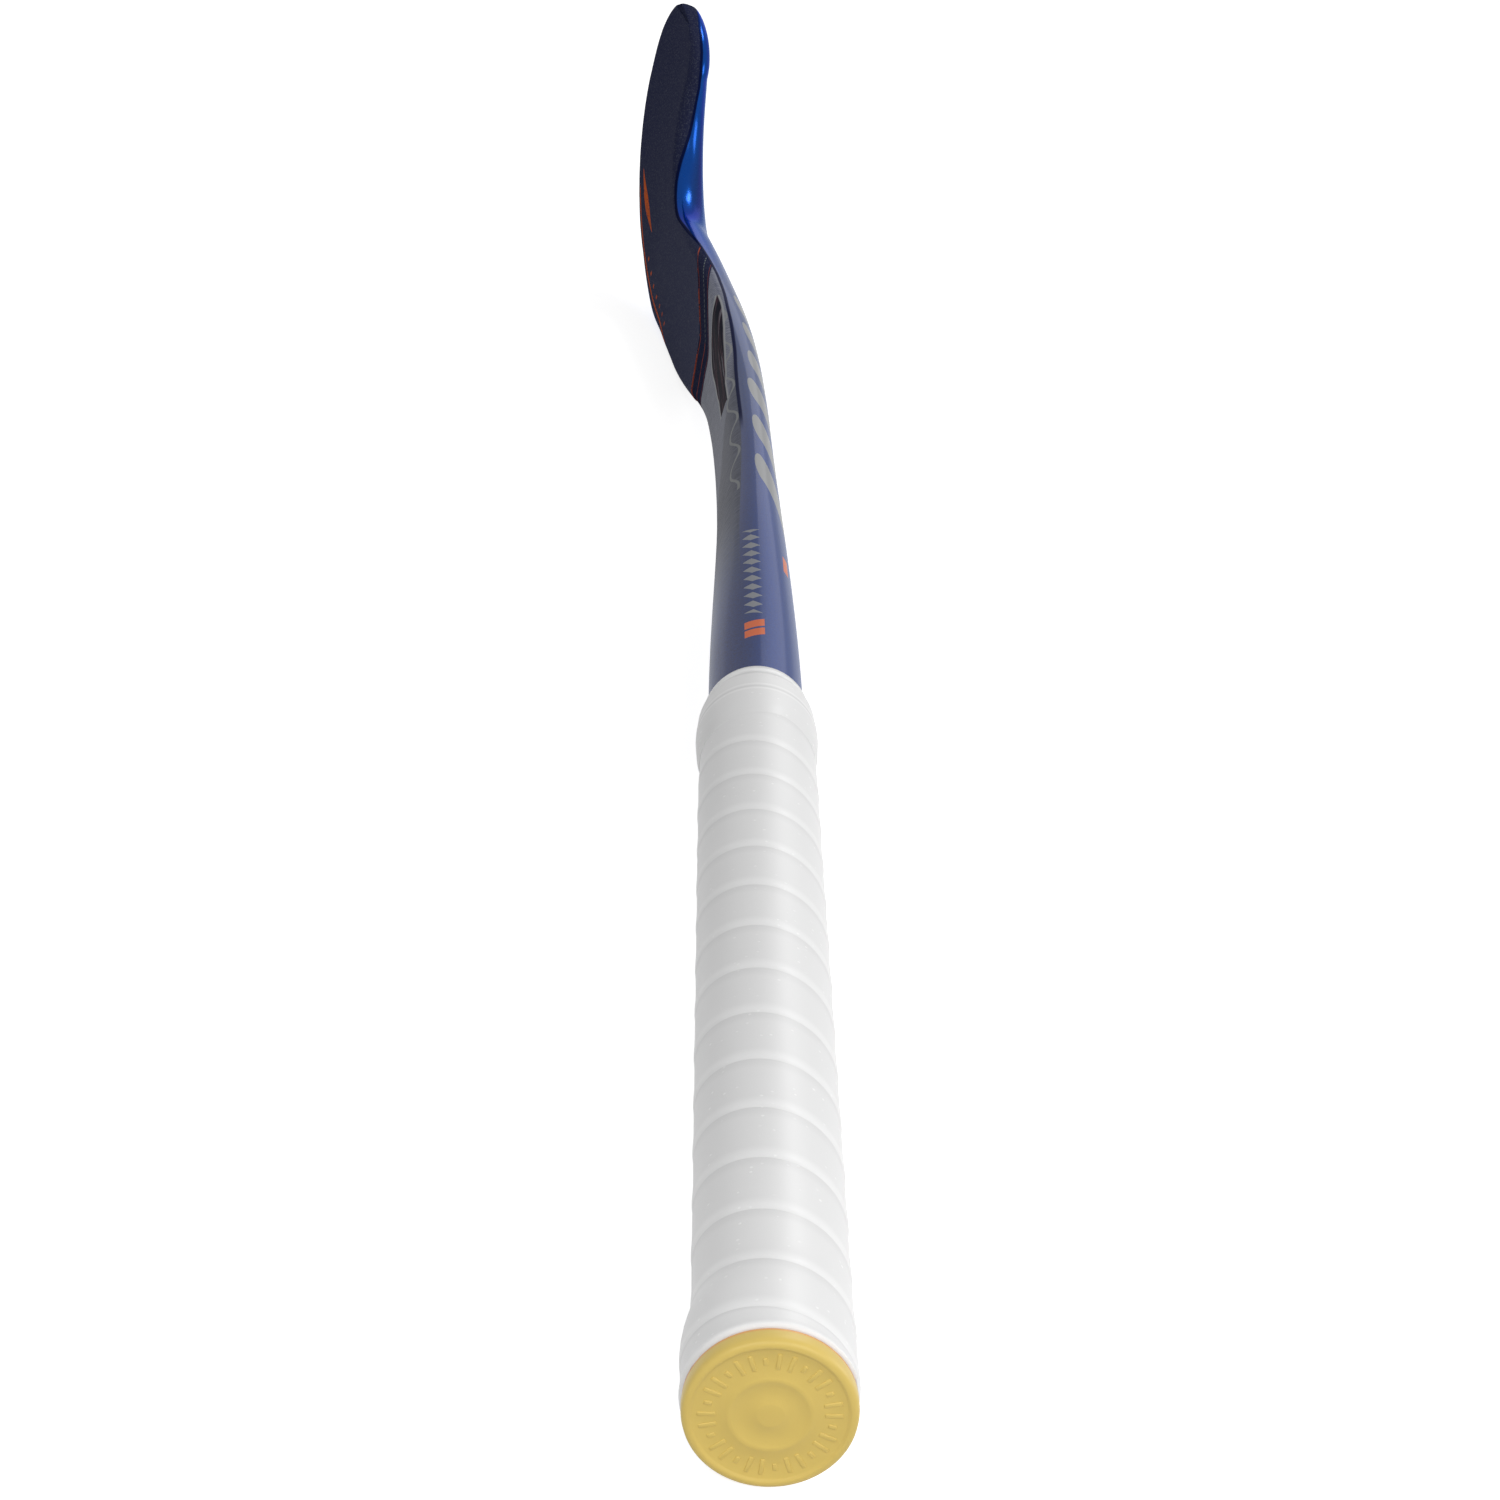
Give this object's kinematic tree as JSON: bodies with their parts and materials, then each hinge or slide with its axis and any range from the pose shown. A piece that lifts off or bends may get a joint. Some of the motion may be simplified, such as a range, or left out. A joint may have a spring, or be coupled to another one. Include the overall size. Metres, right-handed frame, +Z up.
{
  "type": "indoor hockey stick",
  "caption": "Slim one-piece composite indoor hockey stick with a hooked head, a flat bowed playing face, a wound cushioned grip and a rimmed butt cap.",
  "frame": {"origin": "bottom centre of the bounding box: on the floor that the butt and the heel both touch, midway along the stick", "axes": "+Y runs along the shaft from the butt to the head, +Z is up and is the way the toe points, the flat playing face looks to -X"},
  "size_m": [0.0766, 0.9266, 0.1298],
  "materials": {
    "shell_blue": "metallic royal blue lacquer over fibre laminate",
    "core_foam": "rigid yellow foam",
    "bladder_nylon": "thin moulding tube left inside",
    "plug_foam": "light foam",
    "cap_yellow": "satin moulded yellow",
    "collar_foam": "foam build-up",
    "tape_film": "double-sided tape",
    "grip_white": "soft cushioned white strip with fine pores",
    "end_tape_white": "finishing tape",
    "sleeve_white": "soft stretched white rubber",
    "film_navy": "fine speckled matt coat"
  },
  "bodies": {
    "root": {"shaft_shell": "shell_blue", "head_core": "core_foam", "inner_bladder": "bladder_nylon", "handle_plug": "plug_foam", "butt_cap": "cap_yellow", "butt_collar": "collar_foam", "grip_under_tape": "tape_film", "grip_strip": "grip_white", "grip_end_tape": "end_tape_white", "grip_sleeve": "sleeve_white", "playing_face_film": "film_navy"}
  },
  "joints": []
}
